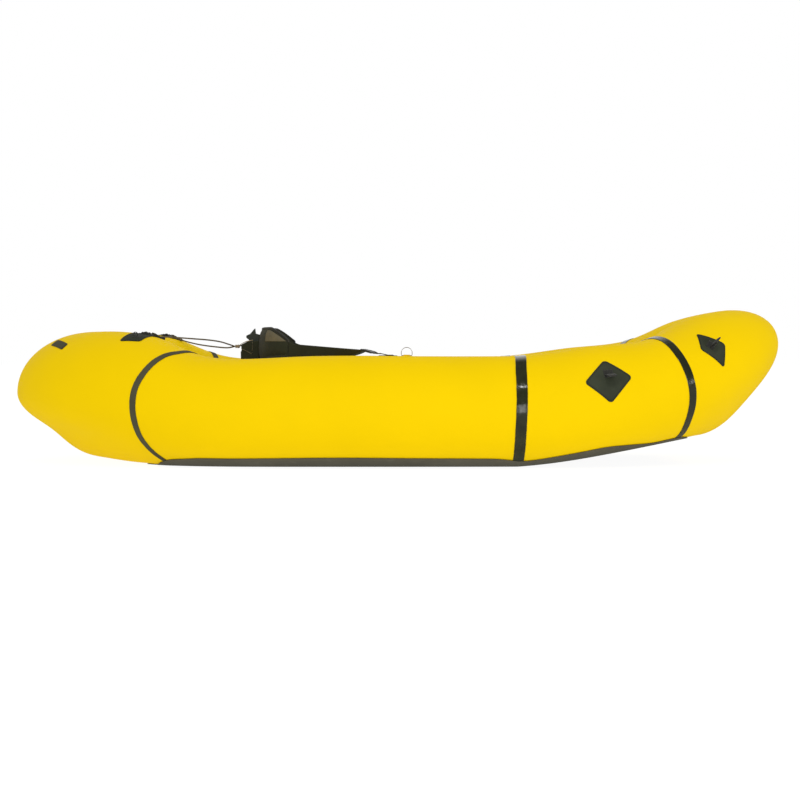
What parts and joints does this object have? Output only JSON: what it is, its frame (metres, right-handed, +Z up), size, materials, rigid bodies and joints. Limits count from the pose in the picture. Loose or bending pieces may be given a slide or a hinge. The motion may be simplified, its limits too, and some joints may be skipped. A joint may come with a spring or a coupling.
{
  "type": "packraft",
  "caption": "Inflated packraft with an upturned bow, a padded seat, a folding backrest held by shock cord, webbing loops on reinforcement patches and an inflation valve.",
  "frame": {"origin": "on the ground, under the middle of the raft's overall length and width", "axes": "+X towards the bow, +Y to port, +Z up"},
  "size_m": [2.2316, 0.9402, 0.4397],
  "materials": {
    "yellow_fabric": "matte",
    "gloss_tape": "gloss",
    "matte_tape": "matte",
    "floor_fabric": "matte",
    "patch_fabric": "matte",
    "webbing": "matte",
    "back_fabric": "matte",
    "binding": "matte",
    "panel_fabric": "matte",
    "seat_fabric": "matte",
    "green_plastic": "satin",
    "black_plastic": "satin",
    "rubber": "matte",
    "steel": "satin",
    "cord_sheath": "matte",
    "tan_plastic": "satin",
    "hoop_plastic": "satin"
  },
  "bodies": {
    "hull": {"backrest_anchor_left": "webbing", "backrest_anchor_right": "webbing", "bow_patch_left": "patch_fabric", "bow_patch_right": "patch_fabric", "floor_sheet": "floor_fabric", "front_patch_left": "patch_fabric", "front_patch_right": "patch_fabric", "hull_bow": "yellow_fabric", "hull_front_left": "yellow_fabric", "hull_front_right": "yellow_fabric", "hull_side_left": "yellow_fabric", "hull_side_right": "yellow_fabric", "hull_stern": "yellow_fabric", "leash_patch": "patch_fabric", "rear_patch_left": "matte_tape", "rear_patch_right": "matte_tape", "seam_tape_bow_left": "gloss_tape", "seam_tape_bow_right": "gloss_tape", "seam_tape_mid_left": "gloss_tape", "seam_tape_mid_right": "gloss_tape", "seam_tape_stern_left": "matte_tape", "seam_tape_stern_right": "matte_tape", "seat_cushion": "seat_fabric", "seat_valve_body": "black_plastic", "side_anchor_left": "webbing", "side_anchor_right": "webbing", "side_buckle_left": "black_plastic", "side_buckle_right": "black_plastic", "side_strap_left": "webbing", "side_strap_right": "webbing", "stern_buckle_left": "black_plastic", "stern_buckle_right": "black_plastic", "stern_cord_left": "cord_sheath", "stern_cord_right": "cord_sheath", "stern_patch_left": "patch_fabric", "stern_patch_right": "patch_fabric", "stern_strap_left": "webbing", "stern_strap_right": "webbing", "valve_body": "black_plastic", "valve_flange": "patch_fabric", "valve_gasket": "rubber", "valve_spring": "steel", "wing_strap_left": "webbing", "wing_strap_right": "webbing"},
    "backrest": {"backrest_pad": "back_fabric", "backrest_binding": "binding", "backrest_hem": "binding", "backrest_sleeve": "back_fabric", "backrest_adjuster": "green_plastic", "backrest_hook": "tan_plastic", "backrest_side_panel_left": "panel_fabric", "backrest_side_panel_right": "panel_fabric"},
    "valve_cap": {"valve_cap": "black_plastic"},
    "valve_plunger": {"valve_plunger": "black_plastic"},
    "seat_plug": {"seat_valve_plug": "black_plastic"},
    "leash_hoop": {"leash_hoop": "hoop_plastic"},
    "front_loop_left": {"front_loop_left": "webbing"},
    "front_loop_right": {"front_loop_right": "webbing"},
    "bow_loop_left": {"bow_loop_left": "webbing"},
    "bow_loop_right": {"bow_loop_right": "webbing"}
  },
  "joints": [
    {"name": "backrest_fold", "type": "hinge", "parent": "hull", "child": "backrest", "pos_m": [-0.3955, 0, 0.122], "axis": [0, 1, 0], "range_deg": [0, 35], "stiffness_Nm_per_rad": 2, "springref_deg": -17.19, "deforming": ["wing_strap_left", "wing_strap_right", "stern_cord_left", "stern_cord_right"]},
    {"name": "valve_cap_turn", "type": "hinge", "parent": "hull", "child": "valve_cap", "pos_m": [0.02683, 0.23421, 0.27661], "axis": [0.0008, -0.5954, 0.8035], "range_deg": [0, 90]},
    {"name": "valve_plunger_press", "type": "slide", "parent": "hull", "child": "valve_plunger", "axis": [-0.0008, 0.5954, -0.8035], "range_m": [0, 0.004], "stiffness_N_per_m": 300, "springref_m": -0.003, "deforming": ["valve_spring"]},
    {"name": "seat_plug_pull", "type": "slide", "parent": "hull", "child": "seat_plug", "axis": [0.2562, 0, 0.9666], "range_m": [0, 0.006]},
    {"name": "leash_hoop_swing", "type": "hinge", "parent": "hull", "child": "leash_hoop", "pos_m": [0.02685, 0.30035, 0.30744], "axis": [1, -0.0057, -0.0072], "range_deg": [-75, 75], "stiffness_Nm_per_rad": 0.01},
    {"name": "front_loop_left_flop", "type": "hinge", "parent": "hull", "child": "front_loop_left", "pos_m": [0.56952, 0.41995, 0.2555], "axis": [-0.9732, 0.1965, -0.1196], "range_deg": [-100, 25], "stiffness_Nm_per_rad": 0.02},
    {"name": "front_loop_right_flop", "type": "hinge", "parent": "hull", "child": "front_loop_right", "pos_m": [0.56952, -0.41995, 0.2555], "axis": [0.9732, 0.1965, 0.1196], "range_deg": [-100, 25], "stiffness_Nm_per_rad": 0.02},
    {"name": "bow_loop_left_flop", "type": "hinge", "parent": "hull", "child": "bow_loop_left", "pos_m": [0.87245, 0.28449, 0.33428], "axis": [-0.5246, 0.6361, -0.5658], "range_deg": [-75, 60], "stiffness_Nm_per_rad": 0.02},
    {"name": "bow_loop_right_flop", "type": "hinge", "parent": "hull", "child": "bow_loop_right", "pos_m": [0.87245, -0.28449, 0.33428], "axis": [0.5246, 0.6361, 0.5658], "range_deg": [-75, 60], "stiffness_Nm_per_rad": 0.02}
  ]
}
